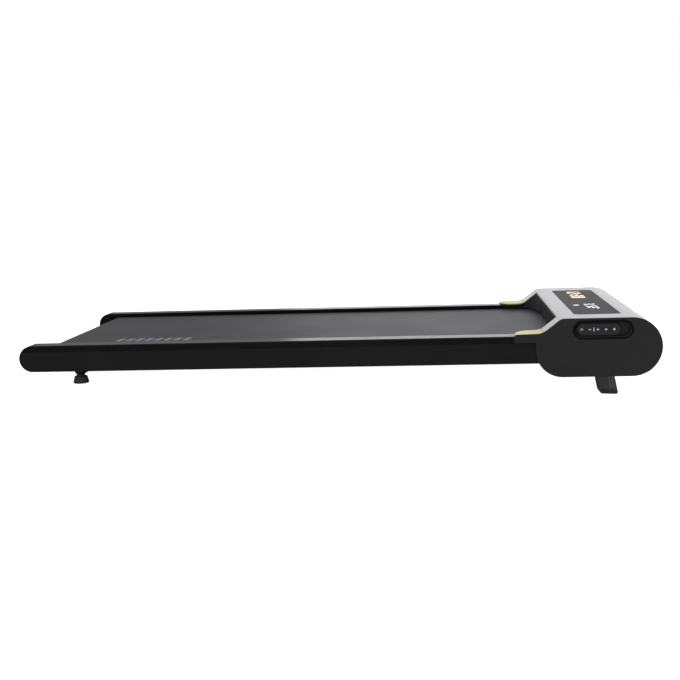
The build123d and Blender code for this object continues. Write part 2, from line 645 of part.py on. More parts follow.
def whole_leg():
    """Left front leg with its foot: a flat bar that leans forward on its way down."""
    lean = math.radians(LEG_LEAN)
    across = (LEG_HALF_WIDTH * math.cos(lean), LEG_HALF_WIDTH * math.sin(lean))
    corners = []
    for sign in (-1, 1):
        edge_x = LEG_PIVOT_X + sign * across[0]
        edge_z = LEG_PIVOT_Z + sign * across[1]
        along = (edge_z - floor_z(edge_x)) / (math.cos(lean) - math.sin(lean) * math.tan(TILT))
        foot = (edge_x + along * math.sin(lean), edge_z - along * math.cos(lean))
        corners.append(((edge_x, edge_z), foot))
    points = [corners[0][0], corners[0][1], corners[1][1], corners[1][0]]
    bar = outline(points, [0, 8.0, 4.0, 0]) + Pos(LEG_PIVOT_X, LEG_PIVOT_Z) * Circle(LEG_HALF_WIDTH)
    leg = side_slab(bar, (LEG_Y - LEG_HALF_DEPTH, LEG_Y + LEG_HALF_DEPTH))
    return leg - rod_y(LEG_PIVOT_X, LEG_PIVOT_Z, PIN_R + RUNNING_FIT, (LEG_Y - 20, LEG_Y + 20))


def incline_leg():
    """The leg above its rubber foot."""
    return whole_leg() - below_floor(LEG_PAD)


def leg_foot_pad():
    """The rubber foot of a leg, flat on the floor."""
    return (whole_leg() & below_floor(LEG_PAD)) - below_floor(0)


def leg_brackets():
    """Two steel cheeks and a bridge over each leg, welded to the pan."""
    reach = LEG_HALF_DEPTH + 4
    block = box((1113, 1160), (LEG_Y - reach, LEG_Y + reach), (PAN_Z[1], 9))
    block -= box((1100, 1170), (LEG_Y - reach + 3, LEG_Y + reach - 3), (PAN_Z[1] - 1, 6))
    block -= rod_y(LEG_PIVOT_X, LEG_PIVOT_Z, PIN_R, (LEG_Y - 25, LEG_Y + 25))
    return both_sides(block)


def leg_pins():
    """Pivot pins of the front legs."""
    reach = LEG_HALF_DEPTH + 4
    return both_sides(rod_y(LEG_PIVOT_X, LEG_PIVOT_Z, PIN_R, (LEG_Y - reach, LEG_Y + reach)))


def transport_wheel():
    """Left transport wheel in the nose's lower corner."""
    wheel = rod_y(WHEEL_X, WHEEL_Z, WHEEL_R, WHEEL_Y)
    rim = wheel.edges().filter_by(GeomType.CIRCLE)
    wheel = fillet(rim, 3.0)
    return wheel - rod_y(WHEEL_X, WHEEL_Z, PIN_R + RUNNING_FIT, (WHEEL_Y[0] - 1, WHEEL_Y[1] + 1))


def wheel_axles():
    """Axles of the transport wheels."""
    return both_sides(rod_y(WHEEL_X, WHEEL_Z, PIN_R, (226, RAIL_HALF)))


def levelling_foot():
    """Left rear foot: rubber pad on a threaded stud, screwed up into the frame."""
    pad = Pos(FOOT_X, FOOT_Y, -21) * Cone(15.9, 12.0, 17.0)
    neck = rod_z(FOOT_X, FOOT_Y, 8.0, (-12.5, -9.3))
    stud = rod_z(FOOT_X, FOOT_Y, PIN_R, (-10, 11.5))
    return pad + neck + stud - below_floor(0)


def remote_key(x):
    """One round key of the remote."""
    return rod_y(x, POCKET_Z, KEY_R, (REMOTE_FACE_Y - 0.4, REMOTE_FACE_Y + 3.1))


def pairs():
    """Pieces that come as a left-hand one and its mirror image."""
    return {
        "side_frame": side_frame(),
        "side_rail": side_rail(),
        "rear_end_cap": rear_end_cap(),
        "accent_strip": accent_strip(),
        "incline_leg": incline_leg(),
        "leg_foot_pad": leg_foot_pad(),
        "transport_wheel": transport_wheel(),
        "levelling_foot": levelling_foot(),
    }


def singles():
    """Every other piece."""
    pieces = {
        "cross_members": cross_members(),
        "motor_pan": motor_pan(),
        "deck_board": deck_board(),
        "deck_cushions": deck_cushions(),
        "walking_belt": walking_belt(),
        "head_top_shell": head_top_shell(),
        "head_side_cover_left": head_side_cover(),
        "head_side_cover_right": right_side_cover(),
        "head_bottom_tray": head_bottom_tray(),
        "belt_entry_guard": belt_entry_guard(),
        "display_lens": display_lens(),
        "display_board": display_board(),
        "motor_body": motor_body(),
        "motor_rotor": motor_rotor(),
        "flywheel": on_motor_shaft(32.0, FLYWHEEL_Y),
        "motor_pulley": on_motor_shaft(MOTOR_PULLEY_R, PULLEY_Y),
        "drive_belt": drive_belt(),
        "control_board": control_board(),
        "power_panel": power_panel(),
        "power_inlet": power_inlet(),
        "switch_housings": switch_housings(),
        "power_rocker": power_rocker(),
        "reset_button": reset_button(),
        "remote_pocket": remote_pocket(),
        "remote_front_shell": remote_front_shell(),
        "remote_back_shell": remote_back_shell(),
        "remote_board": remote_board(),
        "leg_brackets": leg_brackets(),
        "leg_pins": leg_pins(),
        "wheel_axles": wheel_axles(),
        "belt_tension_bolts": belt_tension_bolts(),
        "rear_roller_axle": rear_roller_axle(),
        "front_roller_axle": front_roller_axle(),
        "cover_screws": cover_screws(),
        "front_roller": front_roller(),
        "front_roller_bearings": roller_bearings(FRONT_ROLLER_X),
        "roller_pulley": roller_pulley(),
        "rear_roller": roller_tube(REAR_ROLLER_X),
        "rear_roller_bearings": roller_bearings(REAR_ROLLER_X),
    }
    for number, x in enumerate(key_places(), start=1):
        pieces[f"remote_key_{number}"] = remote_key(x)
    return pieces


def write(name, shape):
    """Tilt a piece into the standing machine's frame and write it."""
    export_step(PLACE * shape, f"parts/{name}.step")


os.makedirs("parts", exist_ok=True)
for name, shape in pairs().items():
    write(f"{name}_left", shape)
    write(f"{name}_right", mirrored(shape))
for name, shape in singles().items():
    write(name, shape)
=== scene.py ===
"""Finishes of the under-desk treadmill, laid out as an add-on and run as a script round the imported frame."""

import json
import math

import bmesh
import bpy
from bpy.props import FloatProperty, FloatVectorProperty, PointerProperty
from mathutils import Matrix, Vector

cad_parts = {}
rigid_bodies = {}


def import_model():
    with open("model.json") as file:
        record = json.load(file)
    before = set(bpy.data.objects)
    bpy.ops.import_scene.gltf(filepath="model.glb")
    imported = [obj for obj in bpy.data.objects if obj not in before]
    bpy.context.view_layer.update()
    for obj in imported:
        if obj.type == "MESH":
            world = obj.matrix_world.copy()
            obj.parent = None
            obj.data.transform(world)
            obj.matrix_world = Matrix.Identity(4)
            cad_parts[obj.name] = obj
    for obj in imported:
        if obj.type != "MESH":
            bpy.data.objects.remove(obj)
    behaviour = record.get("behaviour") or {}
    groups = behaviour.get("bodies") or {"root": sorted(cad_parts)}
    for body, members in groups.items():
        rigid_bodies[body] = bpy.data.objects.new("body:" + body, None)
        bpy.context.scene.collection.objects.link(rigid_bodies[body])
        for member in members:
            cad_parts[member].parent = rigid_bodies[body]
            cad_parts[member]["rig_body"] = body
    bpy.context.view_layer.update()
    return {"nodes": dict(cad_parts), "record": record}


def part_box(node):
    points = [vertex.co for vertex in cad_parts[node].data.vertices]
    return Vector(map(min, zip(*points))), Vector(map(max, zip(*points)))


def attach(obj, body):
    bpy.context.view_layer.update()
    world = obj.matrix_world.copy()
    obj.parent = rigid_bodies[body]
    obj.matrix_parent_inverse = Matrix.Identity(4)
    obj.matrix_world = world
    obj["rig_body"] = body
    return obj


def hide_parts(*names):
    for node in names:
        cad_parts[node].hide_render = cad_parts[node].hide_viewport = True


bl_info = {
    "name": "Under-desk treadmill finishes",
    "version": (1, 0, 0),
    "blender": (4, 5, 0),
    "location": "3D View > Sidebar > Treadmill",
    "description": "Builds the shown surfaces, the finishes and the stage of an under-desk treadmill",
    "category": "Object",
}

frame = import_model()

MM = 0.001
MERGE = 0.002 * MM             # vertices of the frame's loose triangles closer than this are one
FLAT = math.radians(0.6)       # facets within this angle are one flat face
CREASE = math.radians(30)      # sharper edges are rounded
SMOOTH = math.radians(42)      # shading stays smooth up to this angle

# Sizes and places are in millimetres and in the deck's own level frame: X forward, Y left, Z up
PRINT = 0.12                   # printed and lit marks stand this proud
MARK_STEPS = 28                # facets round a small round mark
BELT_THICKNESS = 1.8
BELT_EDGE = 0.5
BELT_STEPS = 28                # facets in the half turn round a roller
BELT_MARKS = 8
BELT_MARK = (10, 32)           # along and across the belt
BELT_MARK_SLANT = 5
BELT_MARK_FROM_REAR = 130
BELT_MARK_FROM_SIDE = 50

# The display: places across it are from the deck's middle, and places up it from the window's rear edge
SEGMENT_GAP = 0.4              # trimmed from each side of a segment, which parts it from its neighbours
SEGMENT_INSET = 1              # of an upright segment's outer end
CLOCK_LEFT = 191
CLOCK_UP = 27
CLOCK_STROKE = 8.5
SPEED_LEFT = -44
SPEED_UP = 37
SPEED_STROKE = 5.6
UNIT_BARS = ((39, -112), (47, -116), (55, -122))    # place up the window and far end of each bar
UNIT_BAR_WIDTH = 5
UNIT_BAR_END = -98
SPEED_DOT = (21, -64, 6.5)     # place up the window, place across it and radius

# The rings round the remote: a section's corners are how much larger than the node and how far inwards
RING_STEPS = 24                # facets in the half turn at each end
BEZEL_SECTION = ((-5, 0.4), (-5, -0.5), (1, -0.9), (3, -0.3), (3, 0.4))
BEZEL_DROP = 0.5               # below the pocket's middle
BORDER_SECTION = ((-5.4, 0.1), (-5.4, -0.15), (-1.8, -0.15), (-1.8, 0.1))
INDICATOR = (0.8, 3.6)         # half its width and half its height

LEG_LEAN = math.radians(11.5)
RIB_PLACES = ((4.0, 7.5), (9.5, 13.5))    # forward of the leg's pin
RIB_SPAN = (-42, -13)          # below the pin
RIB_PROUD = 0.5
RIB_SUNK = 0.2
RIB_EDGE = 0.3

FOOT_X = 115.0                 # of the stud's axis
SOLE_RISE = 1.2                # keeps the tilted sole's rim off the floor
SOLE_RADIUS = 14.6
PAD_RADIUS = 15.3
PAD_RIBS = 4
PAD_RIB_PITCH = 3.0
PAD_TAPER = 0.75               # from each rib to the next
STUD_RADIUS = 4.0
THREAD_DEPTH = 0.6
THREAD_PITCH = 1.25
THREAD_START = -9.0
THREADS = 16
FOOT_STEPS = 56

WHEEL_BORE = 4.1
WHEEL_HUB = 8.5
WHEEL_RIM = 19.5
WHEEL_DISH = 4
WHEEL_GROOVE = 3.2             # half the tyre's groove
WHEEL_STEPS = 72

# The deck's own level frame, as the board that carries the belt shows it
INCLINE = math.radians(2.2)
BOARD_REAR = 82 * MM
BOARD_TOP = 42.1 * MM
BOARD_BOTTOM = 27.1 * MM


def deck_matrix():
    """From the deck's level frame to the standing machine's frame."""
    turn = Matrix.Rotation(-INCLINE, 4, "Y")
    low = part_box("deck_board")[0]
    rear_top = turn @ Vector((BOARD_REAR, 0, BOARD_TOP))
    rear_bottom = turn @ Vector((BOARD_REAR, 0, BOARD_BOTTOM))
    return Matrix.Translation((low.x - rear_top.x, 0, low.z - rear_bottom.z)) @ turn


DECK = deck_matrix()


def deck_box(node):
    """The node's lower and upper corners in the deck's level frame, in millimetres."""
    back = DECK.inverted()
    points = [back @ vertex.co for vertex in frame["nodes"][node].data.vertices]
    corners = [[pick(point[axis] for point in points) / MM for axis in range(3)] for pick in (min, max)]
    return Vector(corners[0]), Vector(corners[1])


def joint_place(name):
    """A joint's place in the deck's level frame, in millimetres."""
    joints = {joint["name"]: joint for joint in frame["record"]["behaviour"]["joints"]}
    return DECK.inverted() @ Vector(joints[name]["pos_m"]) / MM


NODE_SLOT = {row["node"]: row["material_slot"] for row in frame["record"]["subparts"]}


def colour(name, description, value):
    """A colour that a user can change."""
    return FloatVectorProperty(name=name, description=description, subtype="COLOR", size=3, min=0, max=1,
                               default=value)


def length(name, description, millimetres):
    """A length that a user can change."""
    return FloatProperty(name=name, description=description, unit="LENGTH", min=0, default=millimetres * MM)


class TreadmillSizes(bpy.types.PropertyGroup):
    """Sizes of the shown details."""
    moulded_edge: length("Moulded edge", "Rounding of the large moulded pieces", 1.2)
    small_edge: length("Small edge", "Rounding of small and sheet-metal pieces", 0.4)
    digit_height: length("Digit height", "Height of the display's large digits", 31)
    symbol_height: length("Small digit height", "Height of the display's small digits", 23)
    glyph: length("Key symbol", "Size of a symbol on the remote", 4.6)
    bar_pitch: length("Belt mark pitch", "Distance between the printed bars on the belt", 20)
    tread_pitch: length("Belt texture", "Distance between the belt's raised dots", 2.2)


class TreadmillColours(bpy.types.PropertyGroup):
    """Colours of the finishes."""
    belt: colour("Belt", "Walking surface", (0.046, 0.044, 0.055))
    cover: colour("Covers", "Side covers of the head", (0.031, 0.031, 0.033))
    rail: colour("Rails", "Top mouldings and end caps", (0.004, 0.004, 0.005))
    frame_paint: colour("Frame", "Powder-coated steel", (0.008, 0.008, 0.008))
    tray: colour("Tray", "Underside and fascia", (0.016, 0.016, 0.017))
    shell: colour("Bridge", "Metallic paint of the bridge", (0.50, 0.495, 0.515))
    accent: colour("Accent", "Strips on the arms", (0.90, 0.88, 0.38))
    digits: colour("Digits", "Lit digits", (0.95, 0.86, 0.55))


def sizes():
    """The sizes in this scene."""
    return bpy.context.scene.treadmill_sizes


def colours():
    """The colours in this scene."""
    return bpy.context.scene.treadmill_colours


# Shader node groups

def new_group(name, inputs, outputs):
    """An empty shader node group with named sockets: its inputs and its outputs."""
    group = bpy.data.node_groups.new(name, "ShaderNodeTree")
    for label, kind, value in inputs:
        socket = group.interface.new_socket(label, in_out="INPUT", socket_type="NodeSocket" + kind)
        socket.default_value = value
    for label, kind in outputs:
        group.interface.new_socket(label, in_out="OUTPUT", socket_type="NodeSocket" + kind)
    return group, group.nodes.new("NodeGroupInput"), group.nodes.new("NodeGroupOutput")


def add_node(tree, kind, inputs=(), **settings):
    """A node with its settings, and its inputs set to a value or linked to an output."""
    node = tree.nodes.new("ShaderNode" + kind)
    for key, value in settings.items():
        setattr(node, key, value)
    for key, value in dict(inputs).items():
        if isinstance(value, bpy.types.NodeSocket):
            tree.links.new(value, node.inputs[key])
        else:
            node.inputs[key].default_value = value
    return node


def mix_colours(tree, share, first, second):
    """The output of a colour mix."""
    node = add_node(tree, "Mix", data_type="RGBA")
    for socket, value in ((0, share), (6, first), (7, second)):
        if isinstance(value, bpy.types.NodeSocket):
            tree.links.new(value, node.inputs[socket])
        else:
            node.inputs[socket].default_value = value
    return node.outputs[2]


def moulded_grain_group():
    """Fine spark-eroded grain of moulded plastic and paint, with faint handling marks."""
    group, given, made = new_group(
        "moulded_grain",
        [("Vector", "Vector", (0, 0, 0)), ("Colour", "Color", (0, 0, 0, 1)), ("Scale", "Float", 1800.0),
         ("Mottle", "Float", 0.2), ("Roughness", "Float", 0.5), ("Rough Spread", "Float", 0.1)],
        [("Colour", "Color"), ("Roughness", "Float"), ("Height", "Float")],
    )
    fine = add_node(group, "TexNoise", {"Vector": given.outputs["Vector"], "Scale": given.outputs["Scale"],
                                        "Detail": 3.0, "Roughness": 0.6})
    broad = add_node(group, "TexNoise", {"Vector": given.outputs["Vector"], "Scale": 9.0, "Detail": 5.0})
    lighter = add_node(group, "MapRange", {"Value": broad.outputs["Fac"], "From Min": 0.35, "From Max": 0.7,
                                           "To Min": 0.0})
    group.links.new(given.outputs["Mottle"], lighter.inputs["To Max"])
    pale = mix_colours(group, 0.5, given.outputs["Colour"], (0.35, 0.35, 0.36, 1))
    mottled = mix_colours(group, lighter.outputs[0], given.outputs["Colour"], pale)
    group.links.new(mottled, made.inputs["Colour"])
    spread = add_node(group, "Math", {0: broad.outputs["Fac"], 1: given.outputs["Rough Spread"]},
                      operation="MULTIPLY")
    rough = add_node(group, "Math", {0: given.outputs["Roughness"], 1: spread.outputs[0]}, operation="ADD")
    group.links.new(rough.outputs[0], made.inputs["Roughness"])
    group.links.new(fine.outputs["Fac"], made.inputs["Height"])
    return group


def brushed_group():
    """Fine scratches and faint stains of a turned, ground or plated metal piece."""
    group, given, made = new_group(
        "brushed_metal",
        [("Vector", "Vector", (0, 0, 0)), ("Colour", "Color", (0.5, 0.5, 0.5, 1)),
         ("Stretch", "Vector", (1, 60, 1)), ("Roughness", "Float", 0.3)],
        [("Colour", "Color"), ("Roughness", "Float"), ("Height", "Float")],
    )
    stretched = add_node(group, "VectorMath", {0: given.outputs["Vector"], 1: given.outputs["Stretch"]},
                         operation="MULTIPLY")
    lines = add_node(group, "TexNoise", {"Vector": stretched.outputs[0], "Scale": 220.0, "Detail": 4.0})
    stain = add_node(group, "TexNoise", {"Vector": given.outputs["Vector"], "Scale": 25.0, "Detail": 3.0})
    darker = mix_colours(group, 0.35, given.outputs["Colour"], (0.12, 0.11, 0.10, 1))
    share = add_node(group, "MapRange", {"Value": stain.outputs["Fac"], "From Min": 0.5, "From Max": 0.8,
                                         "To Max": 0.6})
    stained = mix_colours(group, share.outputs[0], given.outputs["Colour"], darker)
    group.links.new(stained, made.inputs["Colour"])
    spread = add_node(group, "MapRange", {"Value": lines.outputs["Fac"], "To Min": -0.08, "To Max": 0.12})
    rough = add_node(group, "Math", {0: given.outputs["Roughness"], 1: spread.outputs[0]}, operation="ADD")
    group.links.new(rough.outputs[0], made.inputs["Roughness"])
    group.links.new(lines.outputs["Fac"], made.inputs["Height"])
    return group


def shared_group(name, maker):
    """A node group that is made once."""
    return bpy.data.node_groups.get(name) or maker()


# Materials

def start_material(name, **constants):
    """A material with its Principled shader, whose plain values are set on the shader itself."""
    material = bpy.data.materials.new(name)
    material.use_nodes = True
    shader = material.node_tree.nodes["Principled BSDF"]
    for key, value in constants.items():
        shader.inputs[key.replace("_", " ")].default_value = value
    return material, material.node_tree, shader


def object_place(tree):
    """The piece's own coordinates."""
    return tree.nodes.new("ShaderNodeTexCoord").outputs["Object"]


def add_bump(tree, shader, height, depth):
    """Relief of a given depth in metres."""
    bump = add_node(tree, "Bump", {"Height": height, "Distance": depth, "Strength": 1.0})
    tree.links.new(bump.outputs["Normal"], shader.inputs["Normal"])


def grained(name, base, roughness, scale=1800.0, depth=0.02, mottle=0.03, **constants):
    """Moulded plastic, rubber or paint with a fine grain."""
    material, tree, shader = start_material(name, **constants)
    grain = tree.nodes.new("ShaderNodeGroup")
    grain.node_tree = shared_group("moulded_grain", moulded_grain_group)
    tree.links.new(object_place(tree), grain.inputs["Vector"])
    grain.inputs["Colour"].default_value = (*base, 1)
    grain.inputs["Scale"].default_value = scale
    grain.inputs["Mottle"].default_value = mottle
    grain.inputs["Roughness"].default_value = roughness
    tree.links.new(grain.outputs["Colour"], shader.inputs["Base Color"])
    tree.links.new(grain.outputs["Roughness"], shader.inputs["Roughness"])
    add_bump(tree, shader, grain.outputs["Height"], depth * MM)
    return material


def brushed(name, base, roughness, stretch=(1, 0.02, 1)):
    """Turned, ground or plated metal."""
    material, tree, shader = start_material(name, Metallic=1.0)
    metal = tree.nodes.new("ShaderNodeGroup")
    metal.node_tree = shared_group("brushed_metal", brushed_group)
    tree.links.new(object_place(tree), metal.inputs["Vector"])
    metal.inputs["Colour"].default_value = (*base, 1)
    metal.inputs["Stretch"].default_value = stretch
    metal.inputs["Roughness"].default_value = roughness
    tree.links.new(metal.outputs["Colour"], shader.inputs["Base Color"])
    tree.links.new(metal.outputs["Roughness"], shader.inputs["Roughness"])
    add_bump(tree, shader, metal.outputs["Height"], 0.005 * MM)
    return material


def belt_material():
    """Purple-grey belt with raised dots in a diamond layout, a faint cloudiness and fine speckles."""
    material, tree, shader = start_material("belt_tread", Specular_IOR_Level=0.32)
    place = tree.nodes.new("ShaderNodeUVMap")
    turned = add_node(tree, "Mapping", {"Vector": place.outputs[0], "Rotation": (0, 0, math.radians(45)),
                                        "Scale": (1 / sizes().tread_pitch,) * 3})
    dots = add_node(tree, "TexVoronoi", {"Vector": turned.outputs[0], "Scale": 1.0, "Randomness": 0.0},
                    voronoi_dimensions="2D")
    round_dots = add_node(tree, "MapRange", {"Value": dots.outputs["Distance"], "From Min": 0.15,
                                             "From Max": 0.5, "To Min": 1.0, "To Max": 0.0})
    broad = add_node(tree, "TexNoise", {"Vector": place.outputs[0], "Scale": 6.0, "Detail": 6.0})
    speckle = add_node(tree, "TexNoise", {"Vector": place.outputs[0], "Scale": 900.0, "Detail": 2.0})
    base = (*colours().belt, 1)
    darker = (*(channel * 0.82 for channel in colours().belt), 1)
    cloudy = mix_colours(tree, broad.outputs["Fac"], base, darker)
    tree.links.new(mix_colours(tree, speckle.outputs["Fac"], cloudy, base), shader.inputs["Base Color"])
    rough = add_node(tree, "MapRange", {"Value": broad.outputs["Fac"], "To Min": 0.42, "To Max": 0.55})
    tree.links.new(rough.outputs[0], shader.inputs["Roughness"])
    height = add_node(tree, "Math", {0: round_dots.outputs[0], 1: speckle.outputs["Fac"]}, operation="ADD")
    add_bump(tree, shader, height.outputs[0], 0.10 * MM)
    return material


def metallic_paint():
    """Silver paint with fine flakes under a clear coat."""
    material, tree, shader = start_material("silver_paint", Coat_Weight=0.1, Coat_Roughness=0.3)
    place = object_place(tree)
    flakes = add_node(tree, "TexVoronoi", {"Vector": place, "Scale": 2600.0})
    haze = add_node(tree, "TexNoise", {"Vector": place, "Scale": 14.0, "Detail": 4.0})
    base = (*colours().shell, 1)
    bright = (*(min(1.0, channel * 1.12) for channel in colours().shell), 1)
    tree.links.new(mix_colours(tree, flakes.outputs["Distance"], base, bright), shader.inputs["Base Color"])
    rough = add_node(tree, "MapRange", {"Value": haze.outputs["Fac"], "To Min": 0.34, "To Max": 0.44})
    tree.links.new(rough.outputs[0], shader.inputs["Roughness"])
    metal = add_node(tree, "MapRange", {"Value": flakes.outputs["Distance"], "To Min": 0.25, "To Max": 0.45})
    tree.links.new(metal.outputs[0], shader.inputs["Metallic"])
    add_bump(tree, shader, flakes.outputs["Distance"], 0.004 * MM)
    return material


def lens_material():
    """Smoked satin window with faint cloudy marks."""
    material, tree, shader = start_material("smoked_window", Specular_IOR_Level=0.06)
    place = object_place(tree)
    marks = add_node(tree, "TexNoise", {"Vector": place, "Scale": 60.0, "Detail": 6.0})
    base = mix_colours(tree, marks.outputs["Fac"], (0.014, 0.013, 0.017, 1), (0.020, 0.019, 0.024, 1))
    tree.links.new(base, shader.inputs["Base Color"])
    rough = add_node(tree, "MapRange", {"Value": marks.outputs["Fac"], "To Min": 0.40, "To Max": 0.55})
    tree.links.new(rough.outputs[0], shader.inputs["Roughness"])
    return material


def lit_material(name, tint, strength):
    """A glowing mark whose brightness varies a little over its face: a lit mark, or a printed mark whose glow
    is painted light.
    """
    material, tree, shader = start_material(name, Roughness=0.4, Emission_Strength=strength)
    haze = add_node(tree, "TexNoise", {"Vector": object_place(tree), "Scale": 400.0})
    dim = (*(channel * 0.8 for channel in tint), 1)
    lit = mix_colours(tree, haze.outputs["Fac"], (*tint, 1), dim)
    tree.links.new(lit, shader.inputs["Emission Color"])
    tree.links.new(lit, shader.inputs["Base Color"])
    return material


def circuit_material():
    """Green solder mask with lighter tracks."""
    material, tree, shader = start_material("solder_mask", Coat_Weight=0.3)
    tracks = add_node(tree, "TexBrick", {"Vector": object_place(tree), "Scale": 120.0,
                                         "Color1": (0.02, 0.14, 0.06, 1), "Color2": (0.03, 0.18, 0.08, 1),
                                         "Mortar": (0.05, 0.26, 0.12, 1)})
    tree.links.new(tracks.outputs["Color"], shader.inputs["Base Color"])
    rough = add_node(tree, "MapRange", {"Value": tracks.outputs["Fac"], "To Min": 0.3, "To Max": 0.5})
    tree.links.new(rough.outputs[0], shader.inputs["Roughness"])
    return material


def laminate_material():
    """Dark laminate of the deck board with a faint wood grain."""
    material, tree, shader = start_material("deck_laminate")
    grain = add_node(tree, "TexWave", {"Vector": object_place(tree), "Scale": 30.0, "Distortion": 6.0,
                                       "Detail": 3.0})
    tree.links.new(mix_colours(tree, grain.outputs["Fac"], (0.03, 0.025, 0.02, 1), (0.06, 0.05, 0.04, 1)),
                   shader.inputs["Base Color"])
    rough = add_node(tree, "MapRange", {"Value": grain.outputs["Fac"], "To Min": 0.35, "To Max": 0.5})
    tree.links.new(rough.outputs[0], shader.inputs["Roughness"])
    return material


def matte(name, base, roughness=0.55, **settings):
    """Dark grained plastic that mirrors little."""
    return grained(name, base, roughness, Specular_IOR_Level=0.25, **settings)


MATERIAL_MAKERS = {
    "frame_steel": lambda: matte("powder_coat", colours().frame_paint, 0.5, scale=1400.0, depth=0.03),
    "rail_plastic": lambda: grained("rail_moulding", colours().rail, 0.2, Specular_IOR_Level=0.14),
    "cover_plastic": lambda: matte("cover_moulding", colours().cover),
    "tray_plastic": lambda: matte("tray_moulding", colours().tray),
    "silver_shell": metallic_paint,
    "accent_lime": lambda: grained("accent_strip", colours().accent, 0.4, depth=0.01, mottle=0.02),
    "belt_pvc": belt_material,
    "deck_panel": laminate_material,
    "soft_rubber": lambda: matte("soft_rubber", (0.012, 0.012, 0.012), 0.7, scale=900.0, depth=0.04),
    "roller_steel": lambda: brushed("ground_steel", (0.50, 0.50, 0.51), 0.28, (1, 0.02, 1)),
    "zinc_steel": lambda: brushed("zinc_plate", (0.58, 0.57, 0.53), 0.32, (1, 1, 1)),
    "motor_paint": lambda: grained("motor_paint", (0.015, 0.015, 0.017), 0.35, scale=700.0),
    "pulley_aluminium": lambda: brushed("turned_aluminium", (0.72, 0.72, 0.73), 0.3, (1, 0.05, 1)),
    "circuit_board": circuit_material,
    "lens_gloss": lens_material,
    "black_plastic": lambda: grained("black_moulding", (0.002, 0.002, 0.002), 0.3, Specular_IOR_Level=0.12),
    "pocket_lining": lambda: matte("pocket_lining", (0.06, 0.06, 0.063), 0.5),
    "remote_face": lambda: matte("remote_moulding", (0.036, 0.036, 0.040), 0.4),
    "leg_paint": lambda: matte("leg_paint", (0.11, 0.11, 0.112), 0.45),
    "pad_rubber": lambda: matte("pad_rubber", (0.085, 0.085, 0.085), 0.6, scale=900.0, depth=0.04),
    "key_plastic": lambda: grained("key_moulding", (0.10, 0.10, 0.11), 0.4),
    "wheel_plastic": lambda: matte("wheel_moulding", (0.012, 0.012, 0.012), 0.5),
    # The leg's ribs are raised, and their colour is lighter than the leg's: a painted highlight where the
    # leg's front edge catches the light.
    "leg_rib_painted_highlight": lambda: matte("leg_rib_painted_highlight", (0.20, 0.20, 0.205), 0.45),
    # The remote's key symbols are print, yet this finish glows a little: painted light that brightens them.
    "print_white": lambda: lit_material("printed_symbols_painted_glow", (0.9, 0.9, 0.92), 0.12),
    "print_grey": lambda: grained("printed_marks", (0.34, 0.33, 0.37), 0.5, scale=2500.0, mottle=0.1),
    "lit_yellow": lambda: lit_material("lit_digits", colours().digits, 0.62),
    "lit_white": lambda: lit_material("lit_symbols", (0.9, 0.9, 0.92), 0.6),
}
made_materials = {}


def material_for(key):
    """The finish of a slot, made once."""
    if key not in made_materials:
        made_materials[key] = MATERIAL_MAKERS[key]()
    return made_materials[key]


# Mesh helpers

def place_on(mesh_object, body):
    """Links a finished object and lets it ride on its body."""
    bpy.context.scene.collection.objects.link(mesh_object)
    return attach(mesh_object, body)


def add_piece(name, bm, body, finish, stands_for=(), matrix=DECK):
    """A finished piece from a bmesh drawn in the deck's frame."""
    if matrix is not None:
        bmesh.ops.transform(bm, matrix=matrix, verts=bm.verts)
    bmesh.ops.recalc_face_normals(bm, faces=bm.faces)
    mesh = bpy.data.meshes.new(name)
    bm.to_mesh(mesh)
    bm.free()
    mesh.shade_smooth()
    mesh.set_sharp_from_angle(angle=SMOOTH)
    piece = bpy.data.objects.new(name, mesh)
    mesh.materials.append(material_for(finish))
    shading = piece.modifiers.new("Even shading", "WEIGHTED_NORMAL")
    shading.keep_sharp = True
    place_on(piece, body)
    if stands_for:
        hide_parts(*stands_for)
    return piece


def round_edges(bm, edges, width, segments=2):
    """Rounds these edges."""
    bmesh.ops.bevel(bm, geom=edges, offset=width, offset_type="OFFSET", affect="EDGES", segments=segments,
                    profile=0.5, material=-1, clamp_overlap=False)


def sharp_edges(bm):
    """Every edge with a real corner."""
    return [edge for edge in bm.edges if len(edge.link_faces) == 2 and edge.calc_face_angle(0) > CREASE]


def merged_copy(node):
    """A node's shape as one clean mesh: its loose triangles merged and its flats made whole."""
    bm = bmesh.new()
    bm.from_mesh(frame["nodes"][node].data)
    bmesh.ops.remove_doubles(bm, verts=bm.verts, dist=MERGE)
    bmesh.ops.dissolve_limit(bm, angle_limit=FLAT, verts=bm.verts, edges=bm.edges)
    return bm


def softened(node, width, segments=2, finish=None):
    """The node's shape with its corners rounded as a mould or a press leaves them."""
    bm = merged_copy(node)
    round_edges(bm, sharp_edges(bm), width, segments)
    slot = NODE_SLOT[node]
    body = frame["nodes"][node]["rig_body"]
    return add_piece(node + "_shown", bm, body, finish or slot, [node], matrix=None)


def turned(profile, centre, axis, steps):
    """A turned piece: a profile of distances from the axis and places along it, in millimetres."""
    bm = bmesh.new()
    along = Vector(axis).normalized()
    out = along.orthogonal().normalized()
    middle = Vector(centre) * MM
    verts = [bm.verts.new(middle + out * (radius * MM) + along * (place * MM)) for radius, place in profile]
    edges = [bm.edges.new((first, second)) for first, second in zip(verts, verts[1:])]
    bmesh.ops.spin(bm, geom=verts + edges, cent=middle, axis=along, angle=math.tau, steps=steps,
                   use_merge=True)
    bmesh.ops.remove_doubles(bm, verts=bm.verts, dist=MERGE)
    return bm


def joined(parts):
    """Several bmeshes as one."""
    whole = parts[0]
    for part in parts[1:]:
        spare = bpy.data.meshes.new("spare")
        part.to_mesh(spare)
        part.free()
        whole.from_mesh(spare)
        bpy.data.meshes.remove(spare)
    return whole


